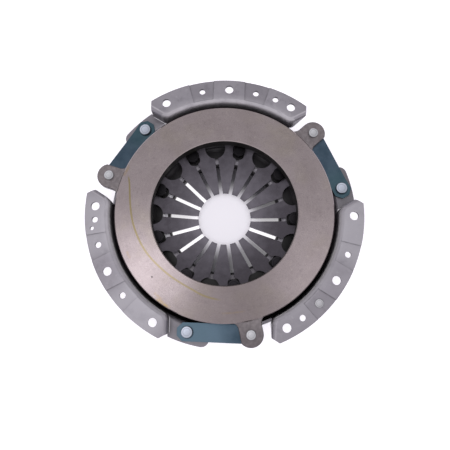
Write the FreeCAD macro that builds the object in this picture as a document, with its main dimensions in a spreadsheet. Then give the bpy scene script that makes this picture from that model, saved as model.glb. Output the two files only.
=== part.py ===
import FreeCAD, Part
import math
import os
import Sketcher

# Clutch cover assembly for a 225 mm single-plate clutch, in millimetres.
# The origin is on the clutch axis in the plane of the cover's mounting face, which
# bolts to the flywheel. +Z points at the flywheel, so the friction face looks up and
# the cover's back is underneath. Drops are depths below the mounting face.
# Radii follow from the pressure plate's diameter by named offsets, so the bolt circle
# comes to 260 and the flange to 280.
# The cover has three equal sectors. The first is centred on +Y, and angles within a
# sector are counted from its middle, anticlockwise seen from the flywheel.

SIZES = [
    ("plate_diameter", 222.6, "outside of the pressure plate"),
    ("face_width", 36.8, "width of the friction ring"),
    ("wall_gap", 4.7, "pressure plate to the inner face of the cover's wall"),
    ("bolt_offset", 10.8, "outer face of the wall to the bolts' circle"),
    ("flange_edge", 10.0, "bolts' circle to the edge of the flange"),
    ("bolt_hole", 8.8, "clearance hole for an M8 bolt"),
    ("bolt_spread", 30.0, "angle from a sector's middle bolt to its outer bolts"),
    ("cover_sheet", 3.2, "thickness of the cover's steel sheet"),
    ("bend_inside", 1.8, "inside radius of the drawn bends"),
    ("sector_clip", 9.15, "length of a sector's clipped ends"),
    ("sector_end_angle", 29.0, "slope of the sector's end walls in plan"),
    ("sector_corner_angle", 34.03, "from a sector's middle to where an end line meets the wall"),
    ("sector_end_round", 10.0, "plan radius where the wall turns into an end wall"),
    ("end_wall_trim", 22.0, "drop of the trimmed end wall at the cover's wall"),
    ("platform_drop", 19.9, "top of the strap platforms"),
    ("platform_width", 17.3, "outer face of the wall to the edge of a strap platform"),
    ("platform_end_angle", 55.5, "far end of a strap platform"),
    ("platform_corner", 8.0, "outer corner radius of a strap platform"),
    ("platform_bend", 0.8, "inside radius of the bend from the wall to a platform"),
    ("lug_gap_drop", 26.0, "top of the wall under a lug"),
    ("lug_gap_end", 33.5, "far end of that gap from the next sector's middle"),
    ("floor_corner", 8.0, "inner radius from the floor to the wall"),
    ("ring_step_gap", 0.3, "rear ring to the top of the step that locates it"),
    ("step_run", 2.8, "radial run of that step"),
    ("well_step", 3.25, "depth of the middle of the floor below its outer part"),
    ("lip_inset", 15.0, "spring rivets' circle to the opening of the rear lip"),
    ("lip_round", 6.5, "outer bend of the rear lip"),
    ("lip_straight", 2.5, "straight end of the rear lip"),
    ("balance_angle", 12.5, "balance holes from the sector's middle"),
    ("balance_hole", 6.2, "balance hole diameter"),
    ("pad_depth", 1.0, "depth of the pressed pads round the balance holes"),
    ("pad_near_side", 16.5, "sector middle line to a pad's near side"),
    ("pad_far_angle", 17.6, "angle of a pad's far side"),
    ("pad_offset", 0.7, "outer face of the wall to the inner edge of a pad"),
    ("pad_slope", 50.0, "slant of a pad's sides from upright"),
    ("dowel_hole", 6.2, "dowel hole diameter"),
    ("dowel_angle", 22.0, "dowel holes of the first and third sectors"),
    ("dowel_angle_second", 23.9, "dowel hole of the second sector"),
    ("gauge_hole", 4.0, "small gauge hole of the second sector"),
    ("gauge_offset", 3.4, "bolts' circle to the gauge hole"),
    ("gauge_angle", 20.2, "gauge hole from the sector's middle"),
    ("face_drop", 3.0, "friction face below the mounting face, at rest"),
    ("plate_thickness", 15.0, "friction face to the plate's back"),
    ("plate_edge", 0.8, "chamfer of the friction face"),
    ("flank_drop", 9.0, "drop where the plate's flank steps in"),
    ("flank_step", 1.5, "step of the flank, which clears the straps"),
    ("relief_reach", 12.0, "spring rivets' circle to the edge of the relief over them"),
    ("ridge_inset", 5.0, "spring's rim to the middle of the ridge that it presses"),
    ("ridge_width", 6.0, "width of that ridge"),
    ("ridge_round", 3.5, "radius of the ridge's crown"),
    ("ridge_notch", 9.0, "width of the air notches in the ridge"),
    ("ridge_notch_count", 12.0, "air notches in the ridge"),
    ("lug_angle", 45.66, "lug rivets from the sector's middle"),
    ("lug_reach", 13.1, "rim of the plate to the lug rivets"),
    ("lug_drop", 5.0, "top of the lugs at rest"),
    ("lug_thickness", 7.0, "thickness of the lugs"),
    ("lug_ear", 12.5, "radius of a lug's ear"),
    ("lug_flat", 1.7, "depth of the flat on a lug's strap side"),
    ("lug_flare", 5.5, "how much wider than its ear a lug's root is, each side"),
    ("lug_root_round", 9.0, "root fillet on the lug's free side"),
    ("lug_strap_round", 7.5, "root fillet on the lug's strap side"),
    ("lug_edge", 0.9, "rounding of a lug's upper edge"),
    ("release_travel", 7.0, "travel of the pressure plate from rest to released"),
    ("head_clearance", 0.6, "released plate to the spring rivet heads"),
    ("ridge_clearance", 0.3, "ridge to the spring at rest"),
    ("spring_inset", 7.3, "rim of the plate to the rim of the diaphragm spring"),
    ("spring_tip_diameter", 56.8, "opening between the finger tips"),
    ("tip_flat", 1.5, "flat end of a finger"),
    ("tip_bend", 25.0, "inside radius of the bend before that flat"),
    ("spring_thickness", 2.5, "thickness of the diaphragm spring"),
    ("spring_slope", 14.4, "cone angle of the free spring"),
    ("spring_drop", 30.0, "drop of the spring's front face over the fulcrum rings"),
    ("finger_count", 18.0, "fingers of the diaphragm spring"),
    ("slot_width", 3.8, "slots between the fingers"),
    ("narrow_window_length", 16.0, "length of a narrow window, centred on its rivet"),
    ("narrow_window_width", 12.6, "width of a narrow window"),
    ("wide_window", 22.0, "diameter of a wide window"),
    ("spring_edge", 0.5, "edge chamfer of the diaphragm spring"),
    ("fulcrum_inset", 23.5, "spring's rim to the middle of the fulcrum rings"),
    ("ring_wire", 3.6, "wire of the fulcrum rings"),
    ("rivet_ring_gap", 0.2, "shank of a spring rivet to the fulcrum rings"),
    ("spring_rivet_shank", 9.0, "shank of a spring rivet"),
    ("spring_rivet_head", 13.4, "front head of a spring rivet"),
    ("spring_rivet_head_height", 2.4, "height of that head"),
    ("spring_rivet_tail", 12.0, "rear head of a spring rivet"),
    ("spring_rivet_tail_height", 2.0, "height of that rear head"),
    ("strap_width", 18.5, "width of a strap"),
    ("leaf_thickness", 0.8, "thickness of one strap leaf"),
    ("leaf_count", 3.0, "leaves in a strap"),
    ("strap_end", 10.0, "rivet to the end of a leaf"),
    ("strap_flat", 9.0, "flat part of a leaf on the span side of a rivet"),
    ("strap_corner", 5.5, "clipped corners of a leaf"),
    ("seat_gap", 0.05, "strap to the underside of its lug"),
    ("cover_rivet_angle", 44.92, "cover rivets from the sector's middle"),
    ("cover_rivet_offset", 5.9, "outer face of the wall to the cover rivets"),
    ("cover_rivet_head", 11.6, "front head of a cover rivet"),
    ("cover_rivet_tail", 9.8, "rear head of a cover rivet, beside the wall"),
    ("cover_rivet_height", 2.5, "height of a cover rivet's heads"),
    ("cover_rivet_shank", 7.0, "shank of a cover rivet"),
    ("lug_rivet_head", 9.6, "head of a lug rivet"),
    ("lug_rivet_height", 2.6, "height of a lug rivet's heads"),
    ("lug_rivet_shank", 6.5, "shank of a lug rivet"),
    ("balance_rivet_head", 9.0, "head of the balance rivet"),
    ("balance_rivet_height", 0.9, "height of the balance rivet's front head"),
    ("balance_rivet_tail", 1.6, "height of the balance rivet's rear head"),
    ("rivet_edge", 0.5, "edge chamfer of the rivet heads"),
    ("rivet_play", 0.05, "radial play of a rivet's shank in its hole"),
]

SECTOR_MIDDLES = (90, 210, 330)
SECTOR_TURN = 120

document = FreeCAD.newDocument("clutch_cover_assembly")
sheet = document.addObject("Spreadsheet::Sheet", "Sizes")
for row, (alias, number, note) in enumerate(SIZES, start=1):
    sheet.set(f"A{row}", alias)
    sheet.set(f"B{row}", str(number))
    sheet.setAlias(f"B{row}", alias)
    sheet.set(f"C{row}", note)
document.recompute()

# How far a cut runs past the metal, or a root into it.
OVERRUN = "2"

# Places worked out from the driving sizes, as expressions.
SHEET = "Sizes.cover_sheet"
PLATE_RIM = "(Sizes.plate_diameter / 2)"
WALL_INSIDE = f"({PLATE_RIM} + Sizes.wall_gap)"
WALL_OUTSIDE = f"({WALL_INSIDE} + {SHEET})"
BOLT_RADIUS = f"({WALL_OUTSIDE} + Sizes.bolt_offset)"
FLANGE_RADIUS = f"({BOLT_RADIUS} + Sizes.flange_edge)"
FLANGE_BEND_END = f"({WALL_OUTSIDE} + Sizes.bend_inside)"
PLATFORM_BEND_END = f"({WALL_OUTSIDE} + Sizes.platform_bend)"
PLATFORM_TOP = "(-Sizes.platform_drop)"
PLATFORM_UNDERSIDE = f"({PLATFORM_TOP} - {SHEET})"
END_ANGLE = "Sizes.sector_end_angle"
END_OFFSET = f"({WALL_INSIDE} * cos({END_ANGLE} + Sizes.sector_corner_angle))"
SPRING_RIM = f"({PLATE_RIM} - Sizes.spring_inset)"
FULCRUM_RADIUS = f"({SPRING_RIM} - Sizes.fulcrum_inset)"
WIRE_RADIUS = "(Sizes.ring_wire / 2)"
RING_INSIDE = f"({FULCRUM_RADIUS} - {WIRE_RADIUS})"
SPRING_RIVET_RADIUS = (
    f"({RING_INSIDE} - Sizes.rivet_ring_gap - Sizes.spring_rivet_shank / 2)")
SLOPE = "Sizes.spring_slope"
SPRING_DEPTH = f"(Sizes.spring_thickness / cos({SLOPE}))"
FRONT_RING_Z = f"(-Sizes.spring_drop + {WIRE_RADIUS} / cos({SLOPE}))"
REAR_RING_Z = f"(-Sizes.spring_drop - {SPRING_DEPTH} - {WIRE_RADIUS} / cos({SLOPE}))"
FLOOR_TOP = f"({REAR_RING_Z} - {WIRE_RADIUS})"
WELL_TOP = f"({FLOOR_TOP} - Sizes.well_step)"
WELL_UNDERSIDE = f"({WELL_TOP} - {SHEET})"
RIVET_SEAT = f"({FRONT_RING_Z} + {WIRE_RADIUS})"
RIVET_TOP = f"({RIVET_SEAT} + Sizes.spring_rivet_head_height)"
LUG_TOP = "(-Sizes.lug_drop)"
LUG_UNDERSIDE = f"({LUG_TOP} - Sizes.lug_thickness)"
PACK = "(Sizes.leaf_count * Sizes.leaf_thickness)"
SPAN_ANGLE = f"({SECTOR_TURN} - Sizes.lug_angle - Sizes.cover_rivet_angle)"
COVER_RIVET_RADIUS = f"({WALL_OUTSIDE} + Sizes.cover_rivet_offset)"
LUG_RIVET_RADIUS = f"({PLATE_RIM} + Sizes.lug_reach)"


def value(expression):
    """The number that an expression comes to now."""
    result = sheet.evalExpression(str(expression))
    return float(getattr(result, "Value", result))


def spring_face(radius):
    """Height of the free spring's front face at a radius."""
    return f"(-Sizes.spring_drop + ({radius} - {FULCRUM_RADIUS}) * tan({SLOPE}))"


def polar(radius, angle):
    """Point at a radius and an angle from +X."""
    return f"({radius}) * cos({angle})", f"({radius}) * sin({angle})"


def from_middle(radius, angle, middle=SECTOR_MIDDLES[0]):
    """Point at a radius and an angle from a sector's middle line."""
    return polar(radius, f"({middle} + ({angle}))")


def end_line_point(radius, inward=0, side=1):
    """Point of a sector's end line, moved inward, at a radius. side is 1 on +X."""
    offset = f"({END_OFFSET} + ({inward}))"
    along = f"sqrt(({radius})^2 - {offset}^2)"
    across = f"(cos({END_ANGLE}) * {along} - sin({END_ANGLE}) * {offset})"
    outward = f"(sin({END_ANGLE}) * {along} + cos({END_ANGLE}) * {offset})"
    return f"({side} * {across})", outward


def sector_half_width():
    """Middle line to the clipped ends: where an end line, raised by the clip's length,
    meets the flange's edge."""
    steep = f"tan({END_ANGLE})"
    rise = f"({END_OFFSET} / cos({END_ANGLE}) + Sizes.sector_clip)"
    root = f"sqrt((1 + {steep}^2) * {FLANGE_RADIUS}^2 - {rise}^2)"
    return f"(({root} - {rise} * {steep}) / (1 + {steep}^2))"


def new_body(name):
    body = document.addObject("PartDesign::Body", name)
    body.Label = name
    return body


def new_sketch(body, name, role="XY_Plane", height=None, turn=None):
    """Sketch on an origin plane, moved along its normal and turned about it."""
    sketch = body.newObject("Sketcher::SketchObject", name)
    plane = [item for item in body.Origin.OriginFeatures if item.Role == role][0]
    sketch.AttachmentSupport = [(plane, "")]
    sketch.MapMode = "FlatFace"
    if height is not None:
        sketch.setExpression("AttachmentOffset.Base.z", height)
    if turn is not None:
        sketch.setExpression("AttachmentOffset.Rotation.Angle", turn)
    return sketch


def pin_point(sketch, element, end, corner):
    """Hold a sketch point at two expressions."""
    for kind, expression in zip(("DistanceX", "DistanceY"), corner):
        number = value(expression)
        index = sketch.addConstraint(
            Sketcher.Constraint(kind, -1, 1, element, end, number))
        sketch.setExpression(f"Constraints[{index}]", str(expression))


def arc_through(start, end, radius):
    """Arc of under half a turn. A negative radius turns clockwise."""
    (x1, y1), (x2, y2) = start, end
    half = math.hypot(x2 - x1, y2 - y1) / 2
    rise = math.sqrt(max(radius * radius - half * half, 0))
    side = math.copysign(1, radius)
    normal_x, normal_y = -(y2 - y1) / (2 * half), (x2 - x1) / (2 * half)
    centre_x = (x1 + x2) / 2 + side * rise * normal_x
    centre_y = (y1 + y2) / 2 + side * rise * normal_y
    first, last = (start, end) if radius > 0 else (end, start)
    circle = Part.Circle(
        FreeCAD.Vector(centre_x, centre_y, 0), FreeCAD.Vector(0, 0, 1), abs(radius))
    angle_1 = math.atan2(first[1] - centre_y, first[0] - centre_x)
    angle_2 = math.atan2(last[1] - centre_y, last[0] - centre_x)
    if angle_2 < angle_1:
        angle_2 += 2 * math.pi
    return Part.ArcOfCircle(circle, angle_1, angle_2)


def outline(sketch, corners):
    """Closed outline. A corner is (x, y), or (x, y, radius) where an arc leaves it."""
    places = [(value(corner[0]), value(corner[1])) for corner in corners]
    pieces = []
    for index, corner in enumerate(corners):
        start, end = places[index], places[(index + 1) % len(corners)]
        if len(corner) == 3:
            radius = value(corner[2])
            element = sketch.addGeometry(arc_through(start, end, radius), False)
            head, tail = (1, 2) if radius > 0 else (2, 1)
            bound = sketch.addConstraint(
                Sketcher.Constraint("Radius", element, abs(radius)))
            sketch.setExpression(f"Constraints[{bound}]", f"abs({corner[2]})")
        else:
            line = Part.LineSegment(FreeCAD.Vector(*start, 0), FreeCAD.Vector(*end, 0))
            element = sketch.addGeometry(line, False)
            head, tail = 1, 2
        pieces.append((element, head, tail))
    for index, (element, head, tail) in enumerate(pieces):
        follower, follower_head, _ = pieces[(index + 1) % len(pieces)]
        sketch.addConstraint(
            Sketcher.Constraint("Coincident", element, tail, follower, follower_head))
        pin_point(sketch, element, head, corners[index][:2])


def circle(sketch, centre, diameter):
    """Full circle at a bound centre with a bound diameter."""
    x, y = value(centre[0]), value(centre[1])
    shape = Part.Circle(
        FreeCAD.Vector(x, y, 0), FreeCAD.Vector(0, 0, 1), value(diameter) / 2)
    element = sketch.addGeometry(shape, False)
    bound = sketch.addConstraint(
        Sketcher.Constraint("Diameter", element, value(diameter)))
    sketch.setExpression(f"Constraints[{bound}]", diameter)
    pin_point(sketch, element, 3, centre)


def pad(body, sketch, length, symmetric=False):
    feature = body.newObject("PartDesign::Pad", sketch.Name + "_pad")
    feature.Profile = sketch
    if symmetric:
        feature.SideType = "Symmetric"
    feature.setExpression("Length", length)
    document.recompute()
    return feature


def pocket(body, sketch, depth=None):
    """Cut below a sketch: to a depth, or through everything."""
    before = body.Shape.Volume
    feature = body.newObject("PartDesign::Pocket", sketch.Name + "_pocket")
    feature.Profile = sketch
    if depth is None:
        feature.Type = "ThroughAll"
    else:
        feature.setExpression("Length", depth)
    document.recompute()
    if body.Shape.Volume >= before:
        raise RuntimeError(f"{feature.Name} cut nothing")
    return feature


def revolve(body, sketch):
    """Full turn about the sketch's vertical axis."""
    feature = body.newObject("PartDesign::Revolution", sketch.Name + "_revolution")
    feature.Profile = sketch
    feature.ReferenceAxis = (sketch, ["V_Axis"])
    feature.Angle = 360
    document.recompute()
    return feature


def repeat_round_axis(body, feature, count):
    """Polar pattern of a feature about the clutch axis."""
    pattern = body.newObject("PartDesign::PolarPattern", feature.Name + "_pattern")
    pattern.Originals = [feature]
    axis = [item for item in body.Origin.OriginFeatures if item.Role == "Z_Axis"][0]
    pattern.Axis = (axis, [""])
    pattern.Angle = 360
    pattern.Occurrences = count
    body.Tip = pattern
    document.recompute()
    return pattern


def chosen_edges(shape, wanted):
    """Names of the edges that a test picks."""
    return [f"Edge{number}" for number, edge in enumerate(shape.Edges, start=1)
            if wanted(edge)]


def fillet(body, name, wanted, radius):
    base = body.Tip
    feature = body.newObject("PartDesign::Fillet", name)
    feature.Base = (base, chosen_edges(base.Shape, wanted))
    feature.setExpression("Radius", radius)
    document.recompute()
    return feature


def lies_at_height(edge, height):
    box = edge.BoundBox
    return abs(box.ZMin - height) < 1e-4 and abs(box.ZMax - height) < 1e-4


def radius_of(point):
    return math.hypot(point.x, point.y)


def cover_bowl_profile(sketch):
    """Rear lip, floor with its ring step, wall, and the bend that turns the wall's top
    out to the strap platforms, as one band of sheet."""
    lip_inside = f"({SPRING_RIVET_RADIUS} - Sizes.lip_inset)"
    lip_outside = f"({lip_inside} + {SHEET})"
    bend_centre_radius = f"({lip_inside} + Sizes.lip_round)"
    step_out = f"({RING_INSIDE} - Sizes.ring_step_gap)"
    step_in = f"({step_out} - Sizes.step_run)"
    step_slope = "atan2(Sizes.well_step; Sizes.step_run)"
    under_shift = f"({SHEET} * tan({step_slope} / 2))"
    corner_centre_radius = f"({WALL_INSIDE} - Sizes.floor_corner)"
    corner_centre_z = f"({FLOOR_TOP} + Sizes.floor_corner)"
    well_bend_z = f"({WELL_TOP} - Sizes.lip_round)"
    lip_end = f"({well_bend_z} - Sizes.lip_straight)"
    wall_end_z = f"({PLATFORM_UNDERSIDE} - Sizes.platform_bend)"
    outline(sketch, [
        (lip_inside, lip_end),
        (lip_inside, well_bend_z, "-Sizes.lip_round"),
        (bend_centre_radius, WELL_TOP),
        (step_in, WELL_TOP),
        (step_out, FLOOR_TOP),
        (corner_centre_radius, FLOOR_TOP, "Sizes.floor_corner"),
        (WALL_INSIDE, corner_centre_z),
        (WALL_INSIDE, wall_end_z, f"-(Sizes.platform_bend + {SHEET})"),
        (PLATFORM_BEND_END, PLATFORM_TOP),
        (PLATFORM_BEND_END, PLATFORM_UNDERSIDE, "Sizes.platform_bend"),
        (WALL_OUTSIDE, wall_end_z),
        (WALL_OUTSIDE, corner_centre_z, f"-(Sizes.floor_corner + {SHEET})"),
        (corner_centre_radius, f"({FLOOR_TOP} - {SHEET})"),
        (f"({step_out} + {under_shift})", f"({FLOOR_TOP} - {SHEET})"),
        (f"({step_in} + {under_shift})", WELL_UNDERSIDE),
        (bend_centre_radius, WELL_UNDERSIDE, f"(Sizes.lip_round - {SHEET})"),
        (lip_outside, well_bend_z),
        (lip_outside, lip_end),
    ])


def sector_outline(sketch, inward, reach):
    """A raised sector in plan. inward moves its wall lines into the sheet, and reach
    carries the open outer sides past the flange."""
    wall = f"({WALL_INSIDE} + ({inward}))"
    rounding = f"(Sizes.sector_end_round - ({inward}))"
    centre_radius = f"({WALL_INSIDE} + Sizes.sector_end_round)"
    outer = f"({FLANGE_RADIUS} + ({reach}))"
    half_width = f"({sector_half_width()} + ({reach}))"
    offset = f"({END_OFFSET} + ({inward}))"
    end_y = f"(({offset} + {half_width} * sin({END_ANGLE})) / cos({END_ANGLE}))"
    outer_y = f"sqrt({outer}^2 - {half_width}^2)"
    centre_x, centre_y = end_line_point(centre_radius, "Sizes.sector_end_round")
    line_x = f"({centre_x} + sin({END_ANGLE}) * {rounding})"
    line_y = f"({centre_y} - cos({END_ANGLE}) * {rounding})"
    arc_x = f"({centre_x} * {wall} / {centre_radius})"
    arc_y = f"({centre_y} * {wall} / {centre_radius})"
    outline(sketch, [
        (half_width, end_y),
        (half_width, outer_y, outer),
        (f"(-{half_width})", outer_y),
        (f"(-{half_width})", end_y),
        (f"(-{line_x})", line_y, rounding),
        (f"(-{arc_x})", arc_y, f"-{wall}"),
        (arc_x, arc_y, rounding),
        (line_x, line_y),
    ])


def sector_bend_edge(edge, height):
    """Edges of a raised sector's wall side at a height, but not its open outer sides."""
    if not lies_at_height(edge, height):
        return False
    middle = edge.valueAt((edge.FirstParameter + edge.LastParameter) / 2)
    angle = math.degrees(math.atan2(middle.y, middle.x))
    from_sector = (angle - SECTOR_MIDDLES[0] + 60) % SECTOR_TURN - 60
    sideways = radius_of(middle) * math.sin(math.radians(abs(from_sector)))
    within = sideways < value(sector_half_width()) - 1e-3
    return within and radius_of(middle) < value(FLANGE_RADIUS) - 1e-3


def add_platform(body):
    """Strap platform beside each sector, from the wall's bend outward."""
    sketch = new_sketch(body, "platform", height=PLATFORM_UNDERSIDE)
    outer = f"({WALL_OUTSIDE} + Sizes.platform_width)"
    corner = "Sizes.platform_corner"
    end = "Sizes.platform_end_angle"
    in_end_wall = f"({SHEET} / 2)"
    corner_centre = f"({outer} - {corner})"
    corner_turn = f"(asin({corner} / {corner_centre}) / 1 deg)"
    side_radius = f"sqrt({corner_centre}^2 - {corner}^2)"
    outline(sketch, [
        (*from_middle(PLATFORM_BEND_END, end), f"-{PLATFORM_BEND_END}"),
        end_line_point(PLATFORM_BEND_END, in_end_wall, side=-1),
        (*end_line_point(outer, in_end_wall, side=-1), outer),
        (*from_middle(outer, f"{end} - {corner_turn}"), corner),
        from_middle(side_radius, end),
    ])
    feature = pad(body, sketch, SHEET)
    repeat_round_axis(body, feature, len(SECTOR_MIDDLES))


def trim_end_wall(body):
    """Sloping lower edge of the end wall on the lug side of each sector."""
    line_x, line_y = end_line_point(WALL_OUTSIDE)
    behind = f"({OVERRUN} - {line_y})"
    below = f"({PLATFORM_UNDERSIDE} - {OVERRUN})"
    sketch = new_sketch(body, "end_wall_trim", role="XZ_Plane", height=behind)
    outline(sketch, [
        (line_x, "(-Sizes.end_wall_trim)"),
        (sector_half_width(), f"(-{SHEET})"),
        (FLANGE_RADIUS, f"(-{SHEET})"),
        (FLANGE_RADIUS, below),
        (line_x, below),
    ])
    before = body.Shape.Volume
    feature = body.newObject("PartDesign::Pocket", "end_wall_trim_pocket")
    feature.Profile = sketch
    feature.setExpression("Length", f"{FLANGE_RADIUS} - {line_y}")
    feature.Reversed = False
    document.recompute()
    if body.Shape.Volume >= before:
        feature.Reversed = True
        document.recompute()
    repeat_round_axis(body, feature, len(SECTOR_MIDDLES))


def open_lug_gap(body):
    """Cut the wall down where a lug passes out of the cover."""
    sketch = new_sketch(body, "lug_gap", height=PLATFORM_TOP)
    inner = f"({WALL_INSIDE} - {OVERRUN})"
    outer = f"({PLATFORM_BEND_END} + {OVERRUN})"
    start = "Sizes.platform_end_angle"
    end = f"({SECTOR_TURN} - Sizes.lug_gap_end)"
    outline(sketch, [
        (*from_middle(inner, start), inner),
        from_middle(inner, end),
        (*from_middle(outer, end), f"-{outer}"),
        from_middle(outer, start),
    ])
    feature = pocket(body, sketch, f"Sizes.lug_gap_drop + {PLATFORM_TOP}")
    repeat_round_axis(body, feature, len(SECTOR_MIDDLES))


def balance_pad_outline(sketch, side, inner, outer):
    """One pressed pad in plan, on the +X side for 1 and the -X side for -1."""
    near = f"({side} * Sizes.pad_near_side)"
    far_angle = f"{-side} * Sizes.pad_far_angle"
    outline(sketch, [
        (near, f"sqrt({inner}^2 - {near}^2)", f"{-side} * {inner}"),
        from_middle(inner, far_angle),
        (*from_middle(outer, far_angle), f"{side} * {outer}"),
        (near, f"sqrt({outer}^2 - {near}^2)"),
    ])


def press_balance_pads(body):
    """Pads round the balance holes, pressed down through the sheet."""
    backs = new_sketch(body, "pad_backs", height=f"(-{SHEET} - Sizes.pad_depth)")
    for side in (1, -1):
        balance_pad_outline(backs, side, FLANGE_BEND_END, FLANGE_RADIUS)
    feature = pad(body, backs, "Sizes.pad_depth")
    repeat_round_axis(body, feature, len(SECTOR_MIDDLES))
    recess = new_sketch(body, "pad_fronts")
    past_flange = f"({FLANGE_RADIUS} + {OVERRUN})"
    for side in (1, -1):
        pad_inside = f"({WALL_OUTSIDE} + Sizes.pad_offset)"
        balance_pad_outline(recess, side, pad_inside, past_flange)
    feature = pocket(body, recess, "Sizes.pad_depth")
    feature.setExpression("TaperAngle", "Sizes.pad_slope")
    document.recompute()
    repeat_round_axis(body, feature, len(SECTOR_MIDDLES))


def drill_cover(body):
    """Bolt, balance, dowel, gauge and rivet holes."""
    repeated = new_sketch(body, "sector_holes")
    for angle in ("-Sizes.bolt_spread", "0", "Sizes.bolt_spread"):
        circle(repeated, from_middle(BOLT_RADIUS, angle), "Sizes.bolt_hole")
    for angle in ("-Sizes.balance_angle", "Sizes.balance_angle"):
        circle(repeated, from_middle(BOLT_RADIUS, angle), "Sizes.balance_hole")
    play = "2 * Sizes.rivet_play"
    rivet_place = from_middle(COVER_RIVET_RADIUS, "Sizes.cover_rivet_angle")
    circle(repeated, rivet_place, f"Sizes.cover_rivet_shank + {play}")
    repeat_round_axis(body, pocket(body, repeated), len(SECTOR_MIDDLES))
    single = new_sketch(body, "single_holes")
    angles = ("Sizes.dowel_angle", "Sizes.dowel_angle_second", "Sizes.dowel_angle")
    for middle, angle in zip(SECTOR_MIDDLES, angles):
        circle(single, from_middle(BOLT_RADIUS, f"-{angle}", middle), "Sizes.dowel_hole")
    gauge_radius = f"({BOLT_RADIUS} + Sizes.gauge_offset)"
    gauge = from_middle(gauge_radius, "-Sizes.gauge_angle", SECTOR_MIDDLES[1])
    circle(single, gauge, "Sizes.gauge_hole")
    pocket(body, single)
    floor = new_sketch(body, "spring_rivet_hole")
    place = (SPRING_RIVET_RADIUS, "0")
    circle(floor, place, f"Sizes.spring_rivet_shank + {play}")
    repeat_round_axis(body, pocket(body, floor), spring_rivet_count())


def spring_rivet_count():
    """One rivet to every second finger."""
    return int(round(value("Sizes.finger_count / 2")))


def make_cover():
    body = new_body("cover")
    profile = new_sketch(body, "bowl", role="XZ_Plane")
    cover_bowl_profile(profile)
    revolve(body, profile)

    block = new_sketch(body, "sector", height=PLATFORM_UNDERSIDE)
    sector_outline(block, "0", "0")
    raised = pad(body, block, f"-{PLATFORM_UNDERSIDE}")
    repeat_round_axis(body, raised, len(SECTOR_MIDDLES))
    fillet(body, "sector_bend", lambda edge: sector_bend_edge(edge, 0),
           f"Sizes.bend_inside + {SHEET}")

    hollow = new_sketch(body, "sector_hollow", height=f"-{SHEET}")
    sector_outline(hollow, SHEET, OVERRUN)
    depth = f"Sizes.platform_drop + Sizes.platform_bend + {OVERRUN}"
    hollowed = pocket(body, hollow, depth)
    repeat_round_axis(body, hollowed, len(SECTOR_MIDDLES))
    underside = -value(SHEET)
    fillet(body, "sector_hollow_bend", lambda edge: sector_bend_edge(edge, underside),
           "Sizes.bend_inside")

    trim_end_wall(body)
    add_platform(body)
    open_lug_gap(body)
    press_balance_pads(body)
    drill_cover(body)
    return body


def is_lug_edge(edge):
    """Upper edges of the lugs, outside the ring."""
    middle = edge.valueAt((edge.FirstParameter + edge.LastParameter) / 2)
    outside = radius_of(middle) > value(PLATE_RIM) + 1e-3
    return outside and lies_at_height(edge, value(LUG_TOP))


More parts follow.
